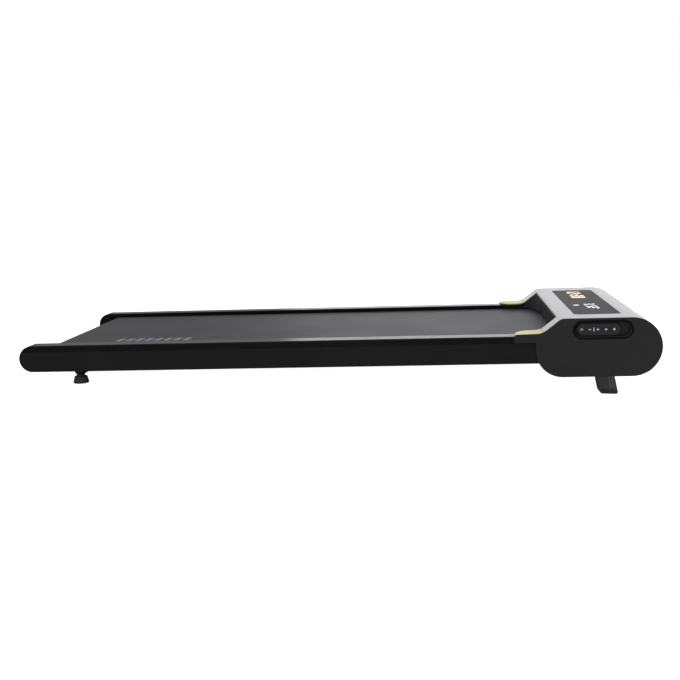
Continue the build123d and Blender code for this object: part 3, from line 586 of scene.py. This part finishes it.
def block(x, y, z, edge=0.0):
    """A block between limits in millimetres, with rounded edges."""
    bm = bmesh.new()
    bmesh.ops.create_cube(bm, size=1)
    size = [(limits[1] - limits[0]) * MM for limits in (x, y, z)]
    middle = [(limits[1] + limits[0]) / 2 * MM for limits in (x, y, z)]
    bmesh.ops.scale(bm, vec=size, verts=bm.verts)
    bmesh.ops.translate(bm, vec=middle, verts=bm.verts)
    if edge:
        round_edges(bm, bm.edges[:], edge * MM)
    return bm


class TreadmillOperator(bpy.types.Operator):
    """Base of the treadmill's operators"""
    bl_options = {"REGISTER", "UNDO"}

    def execute(self, context):
        self.build()
        return {"FINISHED"}


class BuildDeck(TreadmillOperator):
    """Side frames, rails, end caps, board and cross members"""
    bl_idname = "treadmill.build_deck"
    bl_label = "Deck and rails"

    def build(self):
        for side in ("left", "right"):
            softened("side_frame_" + side, sizes().small_edge)
            softened("side_rail_" + side, sizes().small_edge)
            softened("rear_end_cap_" + side, sizes().moulded_edge)
        for node in ("cross_members", "deck_board", "deck_cushions", "belt_tension_bolts"):
            softened(node, sizes().small_edge)


def swept_loop(section, rear, front, steps):
    """A closed section above the rear centre, swept forward, round the front centre, back and round the rear.

    The section holds places across and up, and the centres are vectors, all in millimetres.
    """
    bm = bmesh.new()
    verts = [bm.verts.new(Vector((rear.x, y, z)) * MM) for y, z in section]
    geom = verts + [bm.edges.new(pair) for pair in zip(verts, verts[1:] + verts[:1])]
    run = (front - rear) * MM
    for centre, along in ((front, run), (rear, -run)):
        edges = [part for part in geom if isinstance(part, bmesh.types.BMEdge)]
        made = bmesh.ops.extrude_edge_only(bm, edges=edges)
        moved = [part for part in made["geom"] if isinstance(part, bmesh.types.BMVert)]
        bmesh.ops.translate(bm, vec=along, verts=moved)
        ends = moved + [part for part in made["geom"] if isinstance(part, bmesh.types.BMEdge)
                        and all(vert in moved for vert in part.verts)]
        turn = bmesh.ops.spin(bm, geom=ends, cent=centre * MM, axis=(0, 1, 0), angle=math.pi, steps=steps)
        geom = turn["geom_last"]
    bmesh.ops.remove_doubles(bm, verts=bm.verts, dist=MERGE)
    bmesh.ops.recalc_face_normals(bm, faces=bm.faces)
    return bm


def swept_belt(node):
    """A flat belt round its two rollers, with its edges rounded."""
    low, high = deck_box(node)
    radius = (high.z - low.z) / 2
    rear = Vector((low.x + radius, 0, low.z + radius))
    front = Vector((high.x - radius, 0, rear.z))
    inner = high.z - BELT_THICKNESS
    section = ((low.y, high.z), (high.y, high.z), (high.y, inner), (low.y, inner))
    bm = swept_loop(section, rear, front, BELT_STEPS)
    rims = [edge for edge in bm.edges if edge.calc_face_angle(0) > CREASE * 2]
    round_edges(bm, rims, BELT_EDGE * MM)
    lay_loop_map(bm, rear * MM, front * MM)
    return bm


def lay_loop_map(bm, rear, front):
    """Unrolls the belt: distance round the loop and distance across it, in metres."""
    layer = bm.loops.layers.uv.new("unrolled")
    radius = max(vert.co.z for vert in bm.verts) - rear.z
    run = front.x - rear.x
    turn = math.pi * radius

    def place(co):
        if rear.x <= co.x <= front.x:
            return co.x - rear.x if co.z > rear.z else 2 * run + turn - (co.x - rear.x)
        centre = front if co.x > front.x else rear
        angle = math.atan2(co.x - centre.x, co.z - centre.z)
        return run + radius * angle if co.x > front.x else 2 * run + turn + radius * (math.pi + angle)

    whole = 2 * (run + turn)
    for face in bm.faces:
        middle = place(face.calc_center_median())
        for loop in face.loops:
            along = place(loop.vert.co)
            along += whole * round((middle - along) / whole)
            loop[layer].uv = (along, loop.vert.co.y)


def slanted_bar(x, y, size, slant, z):
    """A thin printed bar on a top face: size along and across, its far end pushed forward by the slant."""
    bm = block((x, x + size[0]), (y, y + size[1]), (z, z + PRINT))
    for vert in bm.verts:
        vert.co.x += slant * (vert.co.y / MM - y) / size[1] * MM
    return bm


class BuildBelt(TreadmillOperator):
    """Walking belt with its printed marks"""
    bl_idname = "treadmill.build_belt"
    bl_label = "Walking belt"

    def build(self):
        add_piece("walking_belt_shown", swept_belt("walking_belt"), "root", "belt_pvc",
                  ["walking_belt"])
        low, high = deck_box("walking_belt")
        pitch = sizes().bar_pitch / MM
        start = low.x + BELT_MARK_FROM_REAR
        side = low.y + BELT_MARK_FROM_SIDE
        bars = [slanted_bar(start + number * pitch, side, BELT_MARK, BELT_MARK_SLANT, high.z)
                for number in range(BELT_MARKS)]
        add_piece("belt_marks", joined(bars), "root", "print_grey")


class BuildHead(TreadmillOperator):
    """Bridge, covers, accent strips, tray and belt guard"""
    bl_idname = "treadmill.build_head"
    bl_label = "Head shells"

    def build(self):
        softened("head_top_shell", sizes().moulded_edge, 3)
        softened("head_bottom_tray", sizes().small_edge)
        softened("belt_entry_guard", sizes().small_edge)
        softened("cover_screws", sizes().small_edge)
        for side in ("left", "right"):
            softened("accent_strip_" + side, sizes().moulded_edge, 3)
            softened("head_side_cover_" + side, sizes().small_edge)


# Which of a digit's seven segments are lit: top, upper left, upper right, middle, lower left, lower right
# and bottom
SEGMENTS = {"1": "0010010", "2": "1011101", "3": "1011011", "5": "1101011", "8": "1111111"}

# Shares of a digit's height
DIGIT_WIDTH = 0.72
DOT_HEIGHTS = {":": (0.3, 0.62), ".": (0.08,)}


def digit(number, left, bottom, height, stroke, top):
    """A seven-segment digit that a walker facing +X reads: it runs towards -Y and its head is towards +X."""
    width = height * DIGIT_WIDTH
    reach = height / 2
    across = (stroke * 0.6, width - stroke * 0.6)
    bars = [
        ((height - stroke, height), across),
        ((reach, height - SEGMENT_INSET), (0, stroke)),
        ((reach, height - SEGMENT_INSET), (width - stroke, width)),
        ((reach - stroke / 2, reach + stroke / 2), across),
        ((SEGMENT_INSET, reach), (0, stroke)),
        ((SEGMENT_INSET, reach), (width - stroke, width)),
        ((0, stroke), across),
    ]
    lit = [bar for bar, state in zip(bars, SEGMENTS[number]) if state == "1"]
    parts = []
    for up, along in lit:
        rise = (bottom + up[0] + SEGMENT_GAP, bottom + up[1] - SEGMENT_GAP)
        sides = (left - along[1] + SEGMENT_GAP, left - along[0] - SEGMENT_GAP)
        bm = block(rise, sides, (top, top + PRINT))
        upright = [e for e in bm.edges if abs(e.verts[0].co.z - e.verts[1].co.z) > PRINT * MM / 2]
        round_edges(bm, upright, stroke * 0.3 * MM, 2)
        parts.append(bm)
    return parts


def readout(digits, left, bottom, height, stroke, top):
    """A row of digits; a colon is two dots and a point one."""
    parts = []
    for sign in digits:
        if sign in DOT_HEIGHTS:
            for up in DOT_HEIGHTS[sign]:
                parts.append(disc(bottom + height * up, left - stroke / 2, stroke * 0.55, (top, top + PRINT)))
            left -= stroke * 2.1
        else:
            parts += digit(sign, left, bottom, height, stroke, top)
            left -= height * DIGIT_WIDTH + stroke
    return joined(parts)


def disc(x, y, radius, z):
    """A flat round plate."""
    bm = bmesh.new()
    place = Matrix.Translation((x * MM, y * MM, (z[0] + z[1]) / 2 * MM))
    bmesh.ops.create_cone(bm, cap_ends=True, segments=MARK_STEPS, radius1=radius * MM, radius2=radius * MM,
                          depth=(z[1] - z[0]) * MM, matrix=place)
    return bm


class BuildDisplay(TreadmillOperator):
    """Display window with its digits and symbols"""
    bl_idname = "treadmill.build_display"
    bl_label = "Display"

    def build(self):
        softened("display_lens", sizes().small_edge)
        softened("display_board", sizes().small_edge)
        low, high = deck_box("display_lens")
        face = (high.z, high.z + PRINT)
        large = sizes().digit_height / MM
        clock = readout("12:38", CLOCK_LEFT, low.x + CLOCK_UP, large, CLOCK_STROKE, high.z)
        add_piece("display_digits", clock, "root", "lit_yellow")
        small = sizes().symbol_height / MM
        parts = [readout("3.5", SPEED_LEFT, low.x + SPEED_UP, small, SPEED_STROKE, high.z)]
        for up, far in UNIT_BARS:
            parts.append(block((low.x + up, low.x + up + UNIT_BAR_WIDTH), (far, UNIT_BAR_END), face))
        up, across, radius = SPEED_DOT
        parts.append(disc(low.x + up, across, radius, face))
        add_piece("display_symbols", joined(parts), "root", "lit_white")


def upright_plate(centre, along, up):
    """A thin plate on the remote's face, between limits measured from a centre."""
    return block([centre.x + limit for limit in along], (centre.y - PRINT, centre.y),
                 [centre.z + limit for limit in up])


def minus_glyph(centre, size):
    """A minus."""
    return upright_plate(centre, (-size / 2, size / 2), (-size / 9, size / 9))


def plus_glyph(centre, size):
    """A plus."""
    wide = (-size / 9, size / 9)
    return joined([minus_glyph(centre, size), upright_plate(centre, wide, (size / 9, size / 2)),
                   upright_plate(centre, wide, (-size / 2, -size / 9))])


def ring_glyph(centre, inner, outer, angle):
    """Part of a flat ring, open at its top."""
    bm = bmesh.new()
    start = -(math.tau - angle) / 2
    ends = []
    for radius, depth in ((inner, 0), (outer, 0), (outer, -PRINT), (inner, -PRINT)):
        ends.append(bm.verts.new(Vector((centre.x + radius * math.sin(start), centre.y + depth,
                                         centre.z - radius * math.cos(start))) * MM))
    face = bm.faces.new(ends)
    bmesh.ops.spin(bm, geom=[face], cent=centre * MM, axis=(0, -1, 0), angle=-angle, steps=MARK_STEPS)
    return bm


def power_glyph(centre, size):
    """An open ring with an upright bar in its gap."""
    ring = ring_glyph(centre, size * 0.38, size * 0.5, math.radians(290))
    return joined([ring, upright_plate(centre, (-size / 14, size / 14), (size * 0.1, size * 0.6))])


def play_glyph(centre, size):
    """A triangle that points forward."""
    bm = bmesh.new()
    bmesh.ops.create_cone(bm, cap_ends=True, segments=3, radius1=size * 0.55 * MM, radius2=size * 0.55 * MM,
                          depth=PRINT * MM)
    bmesh.ops.rotate(bm, verts=bm.verts, cent=(0, 0, 0), matrix=Matrix.Rotation(math.pi / 2, 3, "X"))
    bmesh.ops.rotate(bm, verts=bm.verts, cent=(0, 0, 0), matrix=Matrix.Rotation(math.pi / 2, 3, "Y"))
    bmesh.ops.translate(bm, verts=bm.verts, vec=(centre - Vector((0, PRINT / 2, 0))) * MM)
    return bm


def dot_glyph(centre, size):
    """A round spot."""
    radius = size * 0.42
    return turned([(0, 0), (radius, 0), (radius, PRINT), (0, PRINT)], centre, (0, -1, 0), MARK_STEPS)


def slot_ring(node, section, drop=0.0):
    """A ring round a long slot of the node's size; its section holds extra sizes and places inwards."""
    low, high = deck_box(node)
    middle = (low + high) / 2
    height = high.z - low.z
    level = middle.z - drop
    straight = (high.x - low.x - height) / 2
    profile = [(low.y + inwards, level + (height + more) / 2) for more, inwards in section]
    rear = Vector((middle.x - straight, 0, level))
    front = Vector((middle.x + straight, 0, level))
    return swept_loop(profile, rear, front, RING_STEPS)


class BuildRemote(TreadmillOperator):
    """Remote control, its keys and its pocket"""
    bl_idname = "treadmill.build_remote"
    bl_label = "Remote control"

    def build(self):
        for node in ("remote_back_shell", "remote_board"):
            softened(node, sizes().small_edge)
        softened("remote_pocket", sizes().small_edge, finish="pocket_lining")
        softened("remote_front_shell", sizes().small_edge * 2, 3, "remote_face")
        for number, draw in enumerate((power_glyph, minus_glyph, plus_glyph, play_glyph, dot_glyph), start=1):
            node = f"remote_key_{number}"
            softened(node, sizes().small_edge)
            low, high = deck_box(node)
            centre = Vector(((low.x + high.x) / 2, low.y, (low.z + high.z) / 2))
            symbol = draw(centre, sizes().glyph / MM)
            add_piece(f"key_symbol_{number}", symbol, f"key_{number}", "print_white")
        bezel = slot_ring("remote_pocket", BEZEL_SECTION, BEZEL_DROP)
        add_piece("pocket_bezel", bezel, "root", "black_plastic")
        border = slot_ring("remote_front_shell", BORDER_SECTION)
        add_piece("remote_border", border, "remote", "black_plastic")
        low, high = deck_box("remote_front_shell")
        first, second = deck_box("remote_key_2"), deck_box("remote_key_3")
        middle = Vector(((first[1].x + second[0].x) / 2, low.y, (low.z + high.z) / 2))
        wide, tall = INDICATOR
        light = upright_plate(middle, (-wide, wide), (-tall, tall))
        add_piece("remote_indicator", light, "remote", "print_white")


def leg_ribs(side):
    """Two raised ribs down the front of each face of a leg."""
    pivot = joint_place("leg_fold_" + side)
    low, high = deck_box("incline_leg_" + side)
    bars = []
    for y in ((low.y - RIB_PROUD, low.y + RIB_SUNK), (high.y - RIB_SUNK, high.y + RIB_PROUD)):
        for x in RIB_PLACES:
            bars.append(block(x, y, RIB_SPAN, RIB_EDGE))
    whole = joined(bars)
    bmesh.ops.rotate(whole, verts=whole.verts, cent=(0, 0, 0), matrix=Matrix.Rotation(-LEG_LEAN, 3, "Y"))
    bmesh.ops.translate(whole, verts=whole.verts, vec=Vector((pivot.x, 0, pivot.z)) * MM)
    return whole


def foot_shape(side):
    """Levelling foot: a ribbed rubber pad with a neck, on its threaded stud."""
    low, high = deck_box("levelling_foot_" + side)
    centre = Vector((FOOT_X, (low.y + high.y) / 2, 0))
    bottom = low.z + SOLE_RISE
    profile = [(0, bottom), (SOLE_RADIUS, bottom), (SOLE_RADIUS + 0.8, bottom + 0.7)]
    for step in range(PAD_RIBS):
        z = bottom + 2.2 + step * PAD_RIB_PITCH
        radius = PAD_RADIUS - step * PAD_TAPER
        profile += [(radius, z), (radius - 0.8, z + 0.5), (radius - 0.8, z + 1.1), (radius - 0.2, z + 1.6)]
    profile += [(11.8, -13.3), (11.0, -12.5), (8.4, -12.0), (8.0, -11.2), (8.0, -9.8), (7.5, -9.3),
                (STUD_RADIUS, -9.3)]
    for step in range(THREADS):
        z = THREAD_START + step * THREAD_PITCH
        profile += [(STUD_RADIUS, z), (STUD_RADIUS - THREAD_DEPTH, z + 0.6)]
    profile += [(3.2, high.z - 0.6), (2.6, high.z), (0, high.z)]
    return turned(profile, centre, (0, 0, 1), FOOT_STEPS)


def wheel_shape(side):
    """Transport wheel: a grooved tyre round a dished hub with a bore for its axle."""
    low, high = deck_box("transport_wheel_" + side)
    centre = joint_place("wheel_spin_" + side)
    centre.y = (low.y + high.y) / 2
    half = (high.y - low.y) / 2
    radius = (high.x - low.x) / 2
    face = -half
    floor = face + WHEEL_DISH
    profile = [(WHEEL_BORE, face + 1), (WHEEL_BORE + 1, face), (WHEEL_HUB, face), (WHEEL_HUB + 1, face + 1),
               (WHEEL_HUB + 1, floor), (WHEEL_RIM - 2, floor), (WHEEL_RIM - 1, face + 1), (WHEEL_RIM, face),
               (radius - 3, face), (radius - 0.9, face + 0.9), (radius, face + 3), (radius, -WHEEL_GROOVE),
               (radius - 1, 0.6 - WHEEL_GROOVE), (radius - 1, WHEEL_GROOVE - 0.6), (radius, WHEEL_GROOVE)]
    profile += [(distance, -place) for distance, place in reversed(profile[:11])]
    profile.append(profile[0])
    return turned(profile, centre, (0, 1, 0), WHEEL_STEPS)


class BuildUndercarriage(TreadmillOperator):
    """Front legs, levelling feet and transport wheels"""
    bl_idname = "treadmill.build_undercarriage"
    bl_label = "Legs, feet and wheels"

    def build(self):
        for side in ("left", "right"):
            softened("incline_leg_" + side, sizes().moulded_edge, finish="leg_paint")
            softened("leg_foot_pad_" + side, sizes().small_edge, finish="pad_rubber")
            # Raised ribs whose lighter finish is a painted highlight.
            add_piece("leg_ribs_" + side, leg_ribs(side), "incline_leg_" + side, "leg_rib_painted_highlight")
            foot = "levelling_foot_" + side
            add_piece(foot + "_shown", foot_shape(side), foot, "pad_rubber", [foot])
            wheel = "transport_wheel_" + side
            add_piece(wheel + "_shown", wheel_shape(side), wheel, "wheel_plastic", [wheel])
        for node in ("leg_brackets", "leg_pins", "wheel_axles", "motor_pan"):
            softened(node, sizes().small_edge)


class BuildDrive(TreadmillOperator):
    """Rollers, motor, drive belt and controller"""
    bl_idname = "treadmill.build_drive"
    bl_label = "Drive"

    def build(self):
        for node in ("front_roller", "front_roller_bearings", "roller_pulley", "front_roller_axle",
                     "rear_roller", "rear_roller_bearings", "rear_roller_axle", "motor_body", "motor_rotor",
                     "flywheel", "motor_pulley", "drive_belt", "control_board"):
            softened(node, sizes().small_edge)


class BuildPower(TreadmillOperator):
    """Recessed panel with the mains inlet, the rocker and the breaker"""
    bl_idname = "treadmill.build_power"
    bl_label = "Power panel"

    def build(self):
        for node in ("power_panel", "power_inlet", "switch_housings", "power_rocker", "reset_button"):
            softened(node, sizes().small_edge)


class BuildStage(TreadmillOperator):
    """Pale floor, soft light and the camera"""
    bl_idname = "treadmill.build_stage"
    bl_label = "Stage"

    def build(self):
        build_floor()
        build_lights()
        build_camera()


# Places and sizes in metres, turns in degrees
FLOOR_SIZE = 60.0
FLOOR_GLOW = 1.0
ROOM_GLOW = 0.42               # of the white room, on the treadmill
CAMERA_PLACE = (0.2067, -2.1736, 0.4078)
CAMERA_TURN = (80.900, -0.154, 5.646)
CAMERA_LENS = 53.99            # mm
CAMERA_SENSOR = 36             # mm across
# Each light's place, aim, width and height, and watts
LIGHTS = {
    "softbox_above": ((0.2, -0.2, 2.4), (0.1, 0, 0), (3.0, 2.2), 12),
    "softbox_front": ((2.4, 0.4, 1.1), (0.5, 0, 0.05), (1.6, 1.0), 14),
    "softbox_behind": ((1.0, 3.0, 0.72), (0.3, 0, 0.1), (3.4, 0.8), 12),
}


def floor_material():
    """Pale paper floor that the camera sees lit from below, as on a light table."""
    material = grained("pale_floor", (0.8, 0.8, 0.8), 0.9, scale=300.0, depth=0.01, Specular_IOR_Level=0.0,
                       Emission_Color=(1, 1, 1, 1))
    tree = material.node_tree
    seen = tree.nodes.new("ShaderNodeLightPath")
    glow = add_node(tree, "MapRange", {"Value": seen.outputs["Is Camera Ray"], "To Min": 0.0,
                                       "To Max": FLOOR_GLOW})
    tree.links.new(glow.outputs[0], tree.nodes["Principled BSDF"].inputs["Emission Strength"])
    return material


def build_floor():
    """A large plain pale floor under the feet."""
    bm = bmesh.new()
    bmesh.ops.create_grid(bm, x_segments=1, y_segments=1, size=FLOOR_SIZE / 2)
    mesh = bpy.data.meshes.new("floor")
    bm.to_mesh(mesh)
    bm.free()
    floor = bpy.data.objects.new("floor", mesh)
    mesh.materials.append(floor_material())
    bpy.context.scene.collection.objects.link(floor)


def area_light(name, place, aim, size, power):
    """A soft rectangular light."""
    data = bpy.data.lights.new(name, "AREA")
    data.shape = "RECTANGLE"
    data.size, data.size_y = size
    data.energy = power
    light = bpy.data.objects.new(name, data)
    light.location = place
    light.rotation_euler = (Vector(aim) - Vector(place)).to_track_quat("-Z", "Y").to_euler()
    bpy.context.scene.collection.objects.link(light)


def build_lights():
    """White surroundings with three soft lights: above, in front of the head and behind the far rail."""
    world = bpy.data.worlds.new("studio")
    world.use_nodes = True
    tree = world.node_tree
    background = tree.nodes["Background"]
    seen = add_node(tree, "LightPath")
    strength = add_node(tree, "MapRange", {"Value": seen.outputs["Is Camera Ray"], "To Min": ROOM_GLOW,
                                           "To Max": 1.0})
    tree.links.new(strength.outputs[0], background.inputs["Strength"])
    background.inputs["Color"].default_value = (1, 1, 1, 1)
    bpy.context.scene.world = world
    for name, (place, aim, size, power) in LIGHTS.items():
        area_light(name, place, aim, size, power)


def build_camera():
    """The camera stands low beside the deck, a little ahead of its middle."""
    data = bpy.data.cameras.new("camera")
    data.lens = CAMERA_LENS
    data.sensor_width = CAMERA_SENSOR
    camera = bpy.data.objects.new("camera", data)
    camera.location = CAMERA_PLACE
    camera.rotation_euler = [math.radians(angle) for angle in CAMERA_TURN]
    bpy.context.scene.collection.objects.link(camera)
    bpy.context.scene.camera = camera
    bpy.context.scene.view_settings.view_transform = "Standard"


STEPS = (BuildDeck, BuildBelt, BuildHead, BuildDisplay, BuildRemote, BuildUndercarriage, BuildDrive,
         BuildPower, BuildStage)


class TreadmillPanel(bpy.types.Panel):
    """Lists the steps that build the treadmill"""
    bl_idname = "VIEW3D_PT_treadmill"
    bl_label = "Treadmill"
    bl_space_type = "VIEW_3D"
    bl_region_type = "UI"
    bl_category = "Treadmill"

    def draw(self, context):
        for step in STEPS:
            self.layout.operator(step.bl_idname)
        for group in (sizes(), colours()):
            for key in group.bl_rna.properties.keys():
                if key not in ("rna_type", "name"):
                    self.layout.prop(group, key)


CLASSES = (TreadmillSizes, TreadmillColours, *STEPS, TreadmillPanel)


def register():
    """Adds the classes and this scene's sizes and colours."""
    for cls in CLASSES:
        bpy.utils.register_class(cls)
    bpy.types.Scene.treadmill_sizes = PointerProperty(type=TreadmillSizes)
    bpy.types.Scene.treadmill_colours = PointerProperty(type=TreadmillColours)


def unregister():
    """Removes what register added."""
    del bpy.types.Scene.treadmill_colours
    del bpy.types.Scene.treadmill_sizes
    for cls in reversed(CLASSES):
        bpy.utils.unregister_class(cls)


def main():
    """Builds everything."""
    register()
    for step in STEPS:
        group, name = step.bl_idname.split(".")
        getattr(getattr(bpy.ops, group), name)()


if __name__ == "__main__":
    main()
